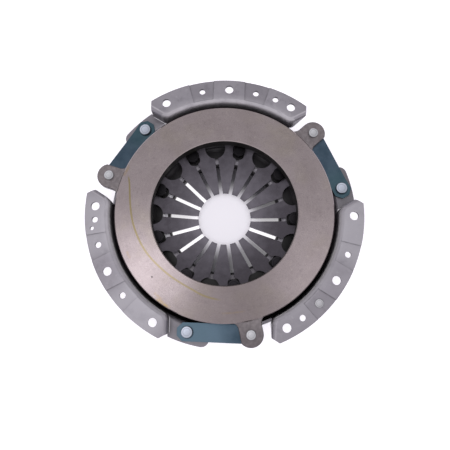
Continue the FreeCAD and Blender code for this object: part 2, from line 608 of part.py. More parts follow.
def make_pressure_plate():
    body = new_body("pressure_plate")
    bore = f"({PLATE_RIM} - Sizes.face_width)"
    flank = f"({PLATE_RIM} - Sizes.flank_step)"
    edge = "Sizes.plate_edge"
    face = "(-Sizes.face_drop)"
    back = f"({face} - Sizes.plate_thickness)"
    relief = f"({RIVET_TOP} + Sizes.release_travel + Sizes.head_clearance)"
    relief_edge = f"({SPRING_RIVET_RADIUS} + Sizes.relief_reach)"
    slant = f"({relief} - {back})"
    ridge_radius = f"({SPRING_RIM} - Sizes.ridge_inset)"
    half_ridge = "(Sizes.ridge_width / 2)"
    crown_rise = f"sqrt(Sizes.ridge_round^2 - {half_ridge}^2)"
    reach = f"(Sizes.ridge_round + Sizes.ridge_clearance) / cos({SLOPE})"
    ridge_side = f"({spring_face(ridge_radius)} + {reach} - {crown_rise})"
    profile = new_sketch(body, "ring", role="XZ_Plane")
    outline(profile, [
        (f"({bore} + {edge})", face),
        (bore, f"({face} - {edge})"),
        (bore, relief),
        (f"({relief_edge} - {slant})", relief),
        (relief_edge, back),
        (f"({ridge_radius} - {half_ridge})", back),
        (f"({ridge_radius} - {half_ridge})", ridge_side, "Sizes.ridge_round"),
        (f"({ridge_radius} + {half_ridge})", ridge_side),
        (f"({ridge_radius} + {half_ridge})", back),
        (flank, back),
        (flank, "(-Sizes.flank_drop - Sizes.flank_step)"),
        (PLATE_RIM, "(-Sizes.flank_drop)"),
        (PLATE_RIM, f"({face} - {edge})"),
        (f"({PLATE_RIM} - {edge})", face),
    ])
    revolve(body, profile)

    notch = new_sketch(body, "ridge_notch", height=back)
    inner = f"({ridge_radius} - Sizes.ridge_width)"
    outer = f"({ridge_radius} + Sizes.ridge_width)"
    half_notch = "(Sizes.ridge_notch / 2)"
    outline(notch, [(inner, f"-{half_notch}"), (outer, f"-{half_notch}"),
                    (outer, half_notch), (inner, half_notch)])
    cut = pocket(body, notch)
    repeat_round_axis(body, cut, int(round(value("Sizes.ridge_notch_count"))))

    turn = f"{SECTOR_MIDDLES[0]} - Sizes.lug_angle"
    lug = new_sketch(body, "lug", height=LUG_UNDERSIDE, turn=turn)
    ear = "Sizes.lug_ear"
    strap_side = f"({ear} - Sizes.lug_flat)"
    root = f"({ear} + Sizes.lug_flare)"
    free_round = "Sizes.lug_root_round"
    strap_round = "Sizes.lug_strap_round"
    root_radius = f"({PLATE_RIM} - Sizes.flank_step / 2)"
    root_x = f"sqrt({root_radius}^2 - {root}^2)"
    in_ring = f"({root_x} - {OVERRUN})"
    free_run = f"sqrt({free_round}^2 - ({free_round} - {root} + {ear})^2)"
    strap_run = f"sqrt({strap_round}^2 - ({strap_round} - {root} + {strap_side})^2)"
    ear_end = f"({LUG_RIVET_RADIUS} + sqrt({ear}^2 - {strap_side}^2))"
    outline(lug, [
        (in_ring, f"-{root}"),
        (root_x, f"-{root}", f"-{strap_round}"),
        (f"({root_x} + {strap_run})", f"-{strap_side}"),
        (ear_end, f"-{strap_side}", ear),
        (LUG_RIVET_RADIUS, ear),
        (f"({root_x} + {free_run})", ear, f"-{free_round}"),
        (root_x, root),
        (in_ring, root),
    ])
    repeat_round_axis(body, pad(body, lug, "Sizes.lug_thickness"), len(SECTOR_MIDDLES))
    fillet(body, "lug_edges", is_lug_edge, "Sizes.lug_edge")

    hole = new_sketch(body, "lug_hole", turn=turn)
    circle(hole, (LUG_RIVET_RADIUS, "0"), "Sizes.lug_rivet_shank + 2 * Sizes.rivet_play")
    repeat_round_axis(body, pocket(body, hole), len(SECTOR_MIDDLES))
    return body


def make_diaphragm_spring():
    body = new_body("diaphragm_spring")
    tip = "(Sizes.spring_tip_diameter / 2)"
    edge = "Sizes.spring_edge"
    bend = "Sizes.tip_bend"
    rear_bend = f"({bend} + Sizes.spring_thickness)"
    flat_end = f"({tip} + Sizes.tip_flat)"
    bend_end = f"({flat_end} + {bend} * sin({SLOPE}))"
    rear_bend_end = f"({flat_end} + {rear_bend} * sin({SLOPE}))"
    tip_front = f"({spring_face(bend_end)} - {bend} * (1 - cos({SLOPE})))"
    tip_rear = f"({tip_front} - Sizes.spring_thickness)"
    rim_edge = f"({SPRING_RIM} - {edge})"
    profile = new_sketch(body, "cone", role="XZ_Plane")
    outline(profile, [
        (tip, f"({tip_rear} + {edge})"),
        (tip, f"({tip_front} - {edge})"),
        (f"({tip} + {edge})", tip_front),
        (flat_end, tip_front, bend),
        (bend_end, spring_face(bend_end)),
        (rim_edge, spring_face(rim_edge)),
        (SPRING_RIM, f"({spring_face(SPRING_RIM)} - {edge})"),
        (SPRING_RIM, f"({spring_face(SPRING_RIM)} - {SPRING_DEPTH} + {edge})"),
        (rim_edge, f"({spring_face(rim_edge)} - {SPRING_DEPTH})"),
        (rear_bend_end, f"({spring_face(rear_bend_end)} - {SPRING_DEPTH})", f"-{rear_bend}"),
        (flat_end, tip_rear),
        (f"({tip} + {edge})", tip_rear),
    ])
    revolve(body, profile)

    half_slot = "(Sizes.slot_width / 2)"
    slot = new_sketch(body, "slot")
    slot_start = f"({tip} - {OVERRUN})"
    start = f"({SPRING_RIVET_RADIUS} - Sizes.narrow_window_length / 2)"
    end = f"({SPRING_RIVET_RADIUS} + Sizes.narrow_window_length / 2)"
    slot_end = f"({start} + {OVERRUN})"
    outline(slot, [(slot_start, f"-{half_slot}"), (slot_end, f"-{half_slot}"),
                   (slot_end, half_slot), (slot_start, half_slot)])
    repeat_round_axis(body, pocket(body, slot), 2 * spring_rivet_count())

    narrow = new_sketch(body, "narrow_window")
    half_width = "(Sizes.narrow_window_width / 2)"
    rounding = f"({half_width} - {half_slot})"
    outline(narrow, [
        (start, half_slot),
        (start, f"-{half_slot}", rounding),
        (f"({start} + {rounding})", f"-{half_width}"),
        (f"({end} - {rounding})", f"-{half_width}", rounding),
        (end, f"-{half_slot}"),
        (end, half_slot, rounding),
        (f"({end} - {rounding})", half_width),
        (f"({start} + {rounding})", half_width, rounding),
    ])
    repeat_round_axis(body, pocket(body, narrow), spring_rivet_count())

    wide = new_sketch(body, "wide_window", turn=f"{180 / spring_rivet_count()}")
    circle(wide, (f"{start} + Sizes.wide_window / 2", "0"), "Sizes.wide_window")
    repeat_round_axis(body, pocket(body, wide), spring_rivet_count())
    return body


def make_fulcrum_ring(name, height):
    ring = document.addObject("Part::Torus", name)
    ring.Label = name
    ring.setExpression("Radius1", FULCRUM_RADIUS)
    ring.setExpression("Radius2", WIRE_RADIUS)
    ring.setExpression("Placement.Base.z", height)
    return ring


def make_rivet(name, place, head, shank, tail):
    """Rivet about its own axis. head is (diameter, top, seat) and tail is
    (diameter, seat, end), with heights counted from the mounting face."""
    body = new_body(name)
    edge = "Sizes.rivet_edge"
    head_radius = f"({head[0]} / 2)"
    tail_radius = f"({tail[0]} / 2)"
    shank_radius = f"({shank} / 2)"
    profile = new_sketch(body, name + "_profile", role="XZ_Plane")
    outline(profile, [
        ("0", tail[2]),
        (f"({tail_radius} - {edge})", tail[2]),
        (tail_radius, f"({tail[2]} + {edge})"),
        (tail_radius, tail[1]),
        (shank_radius, tail[1]),
        (shank_radius, head[2]),
        (head_radius, head[2]),
        (head_radius, f"({head[1]} - {edge})"),
        (f"({head_radius} - {edge})", head[1]),
        ("0", head[1]),
    ])
    revolve(body, profile)
    body.setExpression("Placement.Base.x", place[0])
    body.setExpression("Placement.Base.y", place[1])
    return body


def make_spring_rivets():
    """Rivets in the narrow windows, which hold both rings against the spring."""
    count = spring_rivet_count()
    head = ("Sizes.spring_rivet_head", RIVET_TOP, RIVET_SEAT)
    tail_end = f"({WELL_UNDERSIDE} - Sizes.spring_rivet_tail_height)"
    tail = ("Sizes.spring_rivet_tail", WELL_UNDERSIDE, tail_end)
    rivets = []
    for number in range(count):
        place = polar(SPRING_RIVET_RADIUS, number * 360 / count)
        name = f"spring_rivet_{number + 1}"
        rivets.append(make_rivet(name, place, head, "Sizes.spring_rivet_shank", tail))
    return rivets


def make_leaf(name, middle, layer):
    """One strap leaf about the axis of its cover rivet, with X along the strap.
    Layer 0 lies on top, against the lug."""
    body = new_body(name)
    thickness = "Sizes.leaf_thickness"
    flat = "Sizes.strap_flat"
    end = "Sizes.strap_end"
    span = (f"sqrt({COVER_RIVET_RADIUS}^2 + {LUG_RIVET_RADIUS}^2"
            f" - 2 * {COVER_RIVET_RADIUS} * {LUG_RIVET_RADIUS} * cos({SPAN_ANGLE}))")
    cover_top = f"({PLATFORM_TOP} + {PACK} - {layer} * {thickness})"
    lug_top = f"({LUG_UNDERSIDE} - Sizes.seat_gap - {layer} * {thickness})"
    side = new_sketch(body, name + "_side", role="XZ_Plane")
    outline(side, [
        (f"(-{end})", cover_top),
        (f"(-{end})", f"({cover_top} - {thickness})"),
        (flat, f"({cover_top} - {thickness})"),
        (f"({span} - {flat})", f"({lug_top} - {thickness})"),
        (f"({span} + {end})", f"({lug_top} - {thickness})"),
        (f"({span} + {end})", lug_top),
        (f"({span} - {flat})", lug_top),
        (flat, cover_top),
    ])
    pad(body, side, "Sizes.strap_width", symmetric=True)
    middle_x = value(span) / 2
    corner_x = middle_x + value(end) - 1e-3
    clip = body.newObject("PartDesign::Chamfer", name + "_corners")
    clip.Base = (clip.BaseFeature, chosen_edges(
        clip.BaseFeature.Shape,
        lambda edge: edge.BoundBox.ZLength > value(thickness) / 2
        and edge.BoundBox.XLength < 1e-6
        and abs(edge.BoundBox.XMin - middle_x) > corner_x))
    clip.setExpression("Size", "Sizes.strap_corner")
    document.recompute()

    holes = new_sketch(body, name + "_holes")
    play = "2 * Sizes.rivet_play"
    circle(holes, ("0", "0"), f"Sizes.cover_rivet_shank + {play}")
    circle(holes, (span, "0"), f"Sizes.lug_rivet_shank + {play}")
    pocket(body, holes)

    cover_end = from_middle(
        COVER_RIVET_RADIUS, f"Sizes.cover_rivet_angle - {SECTOR_TURN}", middle)
    lug_end = from_middle(LUG_RIVET_RADIUS, "-Sizes.lug_angle", middle)
    body.setExpression("Placement.Base.x", cover_end[0])
    body.setExpression("Placement.Base.y", cover_end[1])
    heading = f"atan2({lug_end[1]} - {cover_end[1]}; {lug_end[0]} - {cover_end[0]})"
    body.setExpression("Placement.Rotation.Angle", heading)
    return body


def make_straps():
    """Straps, each from a sector's lug to the platform of the sector before it."""
    leaves = []
    for number, middle in enumerate(SECTOR_MIDDLES, start=1):
        for layer in range(int(round(value("Sizes.leaf_count")))):
            name = f"strap_{number}_leaf_{layer + 1}"
            leaves.append(make_leaf(name, middle, layer))
    return leaves


def make_strap_rivets():
    """Cover rivets and lug rivets."""
    height = "Sizes.cover_rivet_height"
    cover_seat = f"({PLATFORM_TOP} + {PACK})"
    cover_head = ("Sizes.cover_rivet_head", f"({cover_seat} + {height})", cover_seat)
    cover_tail = ("Sizes.cover_rivet_tail", PLATFORM_UNDERSIDE,
                  f"({PLATFORM_UNDERSIDE} - {height})")
    height = "Sizes.lug_rivet_height"
    pack_end = f"({LUG_UNDERSIDE} - Sizes.seat_gap - {PACK})"
    lug_head = ("Sizes.lug_rivet_head", f"({LUG_TOP} + {height})", LUG_TOP)
    lug_tail = ("Sizes.lug_rivet_head", pack_end, f"({pack_end} - {height})")
    rivets = []
    for number, middle in enumerate(SECTOR_MIDDLES, start=1):
        place = from_middle(
            COVER_RIVET_RADIUS, f"Sizes.cover_rivet_angle - {SECTOR_TURN}", middle)
        rivets.append(make_rivet(f"cover_rivet_{number}", place, cover_head,
                                 "Sizes.cover_rivet_shank", cover_tail))
        place = from_middle(LUG_RIVET_RADIUS, "-Sizes.lug_angle", middle)
        rivets.append(make_rivet(f"lug_rivet_{number}", place, lug_head,
                                 "Sizes.lug_rivet_shank", lug_tail))
    return rivets


def make_balance_rivet():
    """Rivet in a balance hole of the third sector, below the mounting face."""
    seat = "(-Sizes.pad_depth)"
    back = f"(-Sizes.pad_depth - {SHEET})"
    head = ("Sizes.balance_rivet_head", f"({seat} + Sizes.balance_rivet_height)", seat)
    tail = ("Sizes.balance_rivet_head", back, f"({back} - Sizes.balance_rivet_tail)")
    shank = "(Sizes.balance_hole - 2 * Sizes.rivet_play)"
    place = from_middle(BOLT_RADIUS, "-Sizes.balance_angle", SECTOR_MIDDLES[2])
    return make_rivet("balance_rivet", place, head, shank, tail)


def check_and_export(parts):
    """Stop on any failed object or bad shape, then write one file per sub-part."""
    document.recompute()
    for item in document.Objects:
        if "Invalid" in item.State or "Error" in item.State:
            raise RuntimeError(f"{item.Name} failed: {item.State}")
    for item in parts:
        if item.Shape.isNull() or not item.Shape.isValid() or not item.Shape.Solids:
            raise RuntimeError(f"{item.Label} has no valid solid")
    os.makedirs("parts", exist_ok=True)
    for item in parts:
        item.Shape.exportStep(f"parts/{item.Label}.step")


parts = [
    make_cover(),
    make_pressure_plate(),
    make_diaphragm_spring(),
    make_fulcrum_ring("front_fulcrum_ring", FRONT_RING_Z),
    make_fulcrum_ring("rear_fulcrum_ring", REAR_RING_Z),
    *make_spring_rivets(),
    *make_straps(),
    *make_strap_rivets(),
    make_balance_rivet(),
]
check_and_export(parts)
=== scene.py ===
import math
from types import SimpleNamespace

import bmesh
import bpy
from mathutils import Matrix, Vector


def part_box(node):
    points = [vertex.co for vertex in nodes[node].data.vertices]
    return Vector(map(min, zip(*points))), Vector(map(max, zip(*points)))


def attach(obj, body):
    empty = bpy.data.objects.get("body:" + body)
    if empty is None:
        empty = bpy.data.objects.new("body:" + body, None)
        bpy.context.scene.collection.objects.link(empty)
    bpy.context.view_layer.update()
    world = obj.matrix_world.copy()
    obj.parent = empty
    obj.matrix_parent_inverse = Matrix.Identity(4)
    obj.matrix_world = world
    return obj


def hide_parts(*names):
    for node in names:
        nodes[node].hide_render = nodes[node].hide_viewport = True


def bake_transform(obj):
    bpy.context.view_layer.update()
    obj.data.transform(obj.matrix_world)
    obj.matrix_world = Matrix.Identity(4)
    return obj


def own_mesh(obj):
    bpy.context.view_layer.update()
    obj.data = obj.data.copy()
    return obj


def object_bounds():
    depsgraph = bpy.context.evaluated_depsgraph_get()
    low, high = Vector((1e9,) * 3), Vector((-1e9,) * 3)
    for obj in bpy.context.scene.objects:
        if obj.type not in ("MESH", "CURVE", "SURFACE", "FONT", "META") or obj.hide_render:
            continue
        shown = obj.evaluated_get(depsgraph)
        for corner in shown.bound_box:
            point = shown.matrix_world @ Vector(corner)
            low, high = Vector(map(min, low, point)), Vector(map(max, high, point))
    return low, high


# Clutch cover assembly on a white floor, seen from the flywheel's side. Lengths are in
# metres, in the frame of the solids: the origin on the clutch axis in the plane of the
# cover's mounting face, with +Z towards the flywheel. The angle about the axis is counted
# from +X towards +Y. Colours are linear.

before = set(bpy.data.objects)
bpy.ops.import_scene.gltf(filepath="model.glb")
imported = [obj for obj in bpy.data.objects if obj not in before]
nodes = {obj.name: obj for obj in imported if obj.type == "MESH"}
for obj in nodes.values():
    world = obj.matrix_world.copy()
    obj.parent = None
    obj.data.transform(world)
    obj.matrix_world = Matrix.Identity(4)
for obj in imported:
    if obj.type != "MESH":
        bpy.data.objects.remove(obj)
cad_low, cad_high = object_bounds()

# Places on the solids
FLOOR_Z = cad_low[2]
FRICTION_FACE_Z = -0.003
PLATFORM_Z = -0.0199
PLATE_BORE = 0.0745
WALL_OUTSIDE = 0.1192
SECTOR_ANGLE = math.radians(120)
# An end wall starts at this corner of the wall's outside, an angle from the sector's middle
# line. Its slope is counted from square across that line.
END_CORNER = math.radians(34.03)
END_SLOPE = math.radians(29)
# A balance pad: its edge towards the wall is a radius, the one near the sector's middle is
# a distance from the middle line, and the far one is an angle from it.
PAD_INSIDE = 0.1199
PAD_NEAR = 0.0165
PAD_FAR = math.radians(17.6)
# A pit in the friction face: its radius and its angle about the axis.
PIT_RADIUS = 0.097
PIT_ANGLE = math.radians(225)

# Edges of looks: the two ends of each smooth step.
FLANGE_START = (0.1212, 0.1222)
FLANGE_RIM = (0.1391, 0.1400)
SECTOR_END = (math.radians(32.3), math.radians(33))
PLATFORM_START = (0.1175, 0.119)
END_WALL_START = (0.1168, 0.1185)
EAR_START = (0.1117, 0.1127)
LIP_INNER_EDGE = (0.0620, 0.0610)
LIP_OUTER_EDGE = (0.0662, 0.0675)
BEND_Z = (-0.02, -0.006)
LOWER_BEND_Z = (-0.014, -0.004)
END_SHADE_Z = (-0.001, -0.011)
INSIDE_Z = (-0.028, -0.031)
CAST_BELOW_Y = (-0.105, -0.125)
# Bands of looks: where each starts, is full, stops being full and ends. The last two are
# distances past an end wall.
BEND_RADII = (0.112, 0.114, 0.1165, 0.1175)
BESIDE_BEND_RADII = (0.117, 0.119, 0.1205, 0.126)
FOOT_RADII = (0.116, 0.1175, 0.1305, 0.1335)
SLOT_RADII = (0.0275, 0.031, 0.060, 0.064)
FLOOR_SHADE_RADII = (0.026, 0.048, 0.060, 0.064)
PAD_FLOOR_Z = (-0.0012, -0.00105, -0.0009, -0.0006)
END_WALL_BAND = (-0.007, -0.004, 0.001, 0.002)
FOOT_BAND = (-0.0006, 0.0002, 0.0014, 0.0022)

# Colours: the cover
SHEET_DARK = (0.222, 0.205, 0.237)
SHEET_LIGHT = (0.268, 0.25, 0.285)
SHEET_STAIN = (0.15, 0.138, 0.165)
SHEET_SCUFF = (0.37, 0.35, 0.385)
# Painted shade on the flange's cut edges.
CUT_EDGE_SHADE = (0.06, 0.055, 0.065)
# Painted shade along the pads' rims.
PAD_RIM_SHADE = (0.09, 0.082, 0.098)
PAD_FLOOR = (0.12, 0.108, 0.128)
FLANGE_GLARE = (0.42, 0.4, 0.445)
PLATFORM_SHADE = (0.06, 0.055, 0.063)
# Painted highlights on the bends, then on the wall's side of the bend.
BEND_HIGHLIGHT = (0.46, 0.435, 0.475)
WALL_BEND_HIGHLIGHT = (0.95, 0.92, 0.96)
END_WALL_SHADE = (0.035, 0.032, 0.037)
# Painted highlight on the bend at an end wall's foot.
FOOT_HIGHLIGHT = (0.85, 0.83, 0.87)
LIP_LIT = (0.62, 0.6, 0.65)
LIP_SHADE = (0.09, 0.08, 0.092)
# Painted shade inside the cover.
INSIDE_SHADE_BELOW = (0.012, 0.011, 0.012)
INSIDE_SHADE_ABOVE = (0.036, 0.033, 0.037)
# Colours: the pressure plate
FACE_SALLOW = ((0.234, 0.197, 0.186), (0.276, 0.236, 0.222))
FACE_PINK = ((0.226, 0.188, 0.198), (0.268, 0.226, 0.238))
FACE_SPECKLE = (0.30, 0.256, 0.264)
FACE_PORE = (0.165, 0.138, 0.142)
FACE_MOTTLE_DARK = (0.175, 0.148, 0.158)
FACE_MOTTLE_LIGHT = (0.33, 0.285, 0.28)
FACE_STREAK = (0.31, 0.27, 0.275)
FACE_DARKER_BELOW = (0.14, 0.115, 0.118)
OIL = (0.21, 0.168, 0.075)
RUST = (0.27, 0.19, 0.085)
PIT = (0.05, 0.04, 0.045)
CAST = ((0.158, 0.139, 0.147), (0.214, 0.189, 0.200))
CAST_BELOW = (0.06, 0.052, 0.062)
# Painted shade on the ears' edges and in the bore.
EAR_EDGE_SHADE = (0.045, 0.04, 0.043)
BORE_WALL_SHADE = (0.042, 0.041, 0.036)
# Colours: the diaphragm spring, rings, straps and rivets
SPRING_STEEL = ((0.066, 0.059, 0.071), (0.170, 0.157, 0.186))
RING_STEEL = ((0.02, 0.019, 0.021), (0.06, 0.056, 0.062))
STRAP_BLUE = ((0.038, 0.060, 0.086), (0.060, 0.088, 0.122))
STRAP_GREEN = ((0.042, 0.074, 0.095), (0.058, 0.096, 0.121))
STRAP_SHEEN = (0.107, 0.155, 0.205)
STRAP_SHADOW = (0.012, 0.018, 0.024)
SPRING_RIVET = (0.026, 0.024, 0.028)
COVER_RIVET = (0.45, 0.48, 0.57)
LUG_RIVET = (0.49, 0.485, 0.52)
BALANCE_RIVET = (0.38, 0.37, 0.4)
# Colours: the floor
FLOOR_COLOUR = (0.765, 0.735, 0.815)
FLOOR_LIGHT = (1.0, 0.975, 1.0, 1.0)
FLOOR_SHADE_BELOW = (0.5, 0.49, 0.53)
FLOOR_SHADE_ABOVE = (0.25, 0.24, 0.27)

FACE_ROUGHNESS = 0.25
CAST_ROUGHNESS = 0.43
# How much the floor glows for the rays that see it: in the middle, and past the part.
FLOOR_GLOW = (0.26, 0.55)

# A lobe is an angle about the axis in degrees, and the cosines of the angles from there at
# which it starts and is full.
GLARE_LOBES = ((188, 0.955, 0.994), (232, 0.955, 0.994), (354, 0.94, 0.99))
# Light that comes up through the slots: a lobe and its share.
SLOT_LIGHT = ((150, 0.906, 0.963, 1.0), (180, 0.95, 0.985, 0.7), (210, 0.906, 0.963, 1.0),
              (340, 0.945, 0.985, 1.0), (0, 0.95, 0.985, 0.4), (20, 0.95, 0.985, 0.1),
              (310, 0.8, 0.96, 0.12))
# Small stains on the friction face: the angle and its reach in degrees, the radius and its
# reach in millimetres, and the strength.
RUST_STAINS = ((239, 5, 109.5, 3.0, 0.8), (235, 3.5, 106.5, 1.8, 0.45),
               (207, 2.5, 105.0, 2.0, 0.4), (159, 4, 109.0, 2.5, 0.5),
               (277, 8, 101.0, 1.6, 0.25))
# The oil's route over the friction face: degrees from -X towards -Y, and the radius in
# millimetres, which stays within the span.
OIL_ROUTE = ((-19, 105.6), (-8, 97.6), (14, 91.5), (30, 88.0), (48, 84.4), (67, 83.8),
             (79, 86.5), (92, 88.6))
OIL_SPAN = (80.0, 110.0)

CAMERA_PLACE = (0.00899, -0.09785, 0.47388)
CAMERA_TURN = (10.0154, 0.5134, 2.3152)
CAMERA_LENS = 38.615


# Fields: what nodes work out at each point of a surface

class Field:
    """A number, colour or vector from a node's socket, with arithmetic for numbers."""

    def __init__(self, socket):
        self.socket = socket

    def __add__(self, other):
        return maths("ADD", self, other)

    def __sub__(self, other):
        return maths("SUBTRACT", self, other)

    def __rsub__(self, other):
        return maths("SUBTRACT", other, self)

    def __mul__(self, other):
        return maths("MULTIPLY", self, other)

    def __truediv__(self, other):
        return maths("DIVIDE", self, other)

    def __pow__(self, other):
        return maths("POWER", self, other)

    def __neg__(self):
        return maths("MULTIPLY", self, -1.0)

    def __abs__(self):
        return maths("ABSOLUTE", self)


def node_beside(kind, *sources):
    """A new node in the tree of the first field among its sources."""
    tree = next(item.socket.id_data for item in sources if isinstance(item, Field))
    return tree.nodes.new(kind)


def connect(source, target):
    """Link a field to a socket, or set the socket to a plain value."""
    if isinstance(source, Field):
        target.id_data.links.new(source.socket, target)
    else:
        target.default_value = source


def maths(operation, *values, clamp=False):
    node = node_beside("ShaderNodeMath", *values)
    node.operation = operation
    node.use_clamp = clamp
    for value, socket in zip(values, node.inputs):
        connect(value, socket)
    return Field(node.outputs[0])


def most(first, *others):
    """The largest of several fields."""
    for other in others:
        first = maths("MAXIMUM", first, other)
    return first


def place(tree, kind="Object"):
    """Position in the solids' own frame, or another kind of texture coordinate."""
    return Field(tree.nodes.new("ShaderNodeTexCoord").outputs[kind])


def normal(tree, kind="True Normal"):
    """The flat face's normal, or with kind Normal the smooth shading's."""
    return Field(tree.nodes.new("ShaderNodeNewGeometry").outputs[kind])


def split(vector):
    node = node_beside("ShaderNodeSeparateXYZ", vector)
    connect(vector, node.inputs[0])
    return [Field(socket) for socket in node.outputs]


def radius_and_angle(spot):
    """Distance from the clutch axis, and the angle about it from -pi to pi."""
    x, y, _ = split(spot)
    return maths("SQRT", x * x + y * y), maths("ARCTAN2", y, x)


def noise(vector, scale, detail=3.0, roughness=0.6):
    """Noise from 0 to 1. scale is in cells per metre."""
    node = node_beside("ShaderNodeTexNoise", vector)
    connect(vector, node.inputs["Vector"])
    node.inputs["Scale"].default_value = scale
    node.inputs["Detail"].default_value = detail
    node.inputs["Roughness"].default_value = roughness
    return Field(node.outputs["Fac"])


def between(value, low, high, low_out=0.0, high_out=1.0):
    """Smooth step of a value, from one range to another."""
    node = node_beside("ShaderNodeMapRange", value)
    node.interpolation_type = "SMOOTHSTEP"
    connect(value, node.inputs["Value"])
    for number, name in zip((low, high, low_out, high_out),
                            ("From Min", "From Max", "To Min", "To Max")):
        node.inputs[name].default_value = number
    return Field(node.outputs[0])


def band(value, start, full, full_end, end):
    """1 from full to full_end, falling smoothly to 0 at start and at end."""
    return between(value, start, full) * between(value, full_end, end, 1.0, 0.0)


def around(value, middle, outer, inner):
    """1 within inner of a middle, falling smoothly to 0 at outer."""
    return band(value, middle - outer, middle - inner, middle + inner, middle + outer)


def near(spot, centre, inner, outer):
    """1 within inner of a point, falling smoothly to 0 at outer."""
    node = node_beside("ShaderNodeVectorMath", spot)
    node.operation = "DISTANCE"
    connect(spot, node.inputs[0])
    node.inputs[1].default_value = centre
    return between(Field(node.outputs["Value"]), inner, outer, 1.0, 0.0)


def lobe(angle, middle, start, full, low_out=0.0, high_out=1.0):
    """High about one direction in degrees. start and full are cosines of the angle from it."""
    turned = maths("COSINE", angle - math.radians(middle))
    return between(turned, start, full, low_out, high_out)


def dot(first, second):
    """Dot product of two vectors."""
    node = node_beside("ShaderNodeVectorMath", first)
    node.operation = "DOT_PRODUCT"
    connect(first, node.inputs[0])
    connect(second, node.inputs[1])
    return Field(node.outputs["Value"])


def blend(share, first, second):
    """From the first colour to the second, as the share goes from 0 to 1."""
    node = node_beside("ShaderNodeMix", share)
    node.data_type = "RGBA"
    connect(share, node.inputs["Factor"])
    for colour, name in ((first, "A_Color"), (second, "B_Color")):
        socket = next(item for item in node.inputs if item.identifier == name)
        connect((*colour, 1.0) if isinstance(colour, tuple) else colour, socket)
    return Field(next(item for item in node.outputs if item.identifier == "Result_Color"))


def scaled(colour, factor):
    return tuple(factor * item for item in colour)


def rays_seen(tree):
    """1 for the rays that show a surface: straight, mirrored or through something clear."""
    path = tree.nodes.new("ShaderNodeLightPath")
    kinds = ("Is Camera Ray", "Is Glossy Ray", "Is Transmission Ray")
    return most(*[Field(path.outputs[kind]) for kind in kinds])


def new_material(name, roughness, metallic=1.0):
    """A material with its node tree and its shader."""
    material = bpy.data.materials.new(name)
    material.use_nodes = True
    shader = material.node_tree.nodes["Principled BSDF"]
    shader.inputs["Roughness"].default_value = roughness
    shader.inputs["Metallic"].default_value = metallic
    return material, material.node_tree, shader


def vary(level, *noises):
    """A level that noises, each with its share, move up and down."""
    parts = [field * share for field, share in noises]
    total = parts[0]
    for part in parts[1:]:
        total = total + part
    return total + (level - sum(share for _, share in noises) / 2)


def vary_roughness(shader, *noises):
    """Let noises, each with its share, move the roughness about its level."""
    socket = shader.inputs["Roughness"]
    connect(vary(socket.default_value, *noises), socket)


def bump(shader, height, strength, distance):
    node = node_beside("ShaderNodeBump", height)
    node.inputs["Strength"].default_value = strength
    node.inputs["Distance"].default_value = distance
    connect(height, node.inputs["Height"])
    connect(Field(node.outputs["Normal"]), shader.inputs["Normal"])


def paint(node_names, material):
    """Give the CAD nodes their material."""
    for name in node_names:
        mesh = nodes[name].data
        mesh.materials.clear()
        mesh.materials.append(material)


def named(start):
    return [name for name in nodes if name.startswith(start)]


def middle_of(name):
    low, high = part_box(name)
    return (low + high) / 2


# Cover

def cover_places(tree):
    """The fields that the cover's looks are placed by."""
    at = SimpleNamespace()
    at.spot = place(tree)
    at.x, at.y, at.height = split(at.spot)
    at.radius, at.angle = radius_and_angle(at.spot)
    # The angle from the middle of the nearest of the three flange sectors, the first of
    # which is at 90 degrees, and the distances across and along its middle line.
    at.turn = maths("PINGPONG", at.angle + math.radians(270), SECTOR_ANGLE / 2)
    at.across = at.radius * maths("SINE", at.turn)
    at.along = at.radius * maths("COSINE", at.turn)
    # How far a face looks up: 1 if it is level, 0 if upright and -1 if it looks down.
    at.normal = normal(tree)
    at.upward = split(at.normal)[2]
    at.smooth_upward = split(normal(tree, "Normal"))[2]
    at.on_flange = between(at.radius, *FLANGE_START)
    at.platform_level = around(at.height, PLATFORM_Z, 0.001, 0.0005)
    return at


def stained_sheet(at, clouds):
    """Clouded grey with darker stains and paler scuffs."""
    blotches = between(noise(at.spot, 62, detail=5, roughness=0.65), 0.52, 0.72)
    scuffs = between(noise(at.spot, 120, detail=5, roughness=0.7), 0.55, 0.75)
    colour = blend(between(clouds, 0.3, 0.7), SHEET_DARK, SHEET_LIGHT)
    colour = blend(blotches * 0.58, colour, SHEET_STAIN)
    return blend(scuffs * 0.4, colour, SHEET_SCUFF)


def shaded_cut_edges(at, colour):
    """Painted shade on the flange's cut edges, except at a sector's ends."""
    upright = between(abs(at.upward), 0.82, 0.93, 1.0, 0.0)
    before_end = between(at.turn, *SECTOR_END, 1.0, 0.0)
    rim = between(at.radius, *FLANGE_RIM) * 0.6
    edges = most(at.on_flange * upright * before_end, rim)
    return blend(edges * 0.75, colour, CUT_EDGE_SHADE)


def balance_pads(at, colour):
    """Painted shade lines along the pads' rims and sides, and their floors are a little
    darker.
    """
    past_near = between(at.across, PAD_NEAR - 0.0004, PAD_NEAR)
    before_far = between(at.turn, PAD_FAR, PAD_FAR + 0.003, 1.0, 0.0)
    rim = band(at.radius, PAD_INSIDE - 0.0009, PAD_INSIDE, PAD_INSIDE + 0.0003,
               PAD_INSIDE + 0.001)
    rim = rim * (past_near * before_far)
    sides = around(at.across, PAD_NEAR, 0.0008, 0.0001)
    sides = sides + around(at.turn, PAD_FAR, 0.006, 0.001)
    sides = sides * between(at.radius, PAD_INSIDE - 0.0003, PAD_INSIDE)
    lines = maths("ADD", sides, rim, clamp=True)
    lines = lines * between(noise(at.spot, 150, detail=3), 0.3, 0.65, 0.15, 0.6)
    colour = blend(lines, colour, PAD_RIM_SHADE)
    floors = at.on_flange * band(at.height, *PAD_FLOOR_Z)
    return blend(floors * 0.2, colour, PAD_FLOOR)


def flange_glare(at, colour):
    """Painted highlights brighten the flange's upper side in a few directions."""
    lit = most(*[lobe(at.angle, *row) for row in GLARE_LOBES])
    return blend(lit * between(at.upward, 0.97, 0.99, 0.0, 0.45), colour, FLANGE_GLARE)


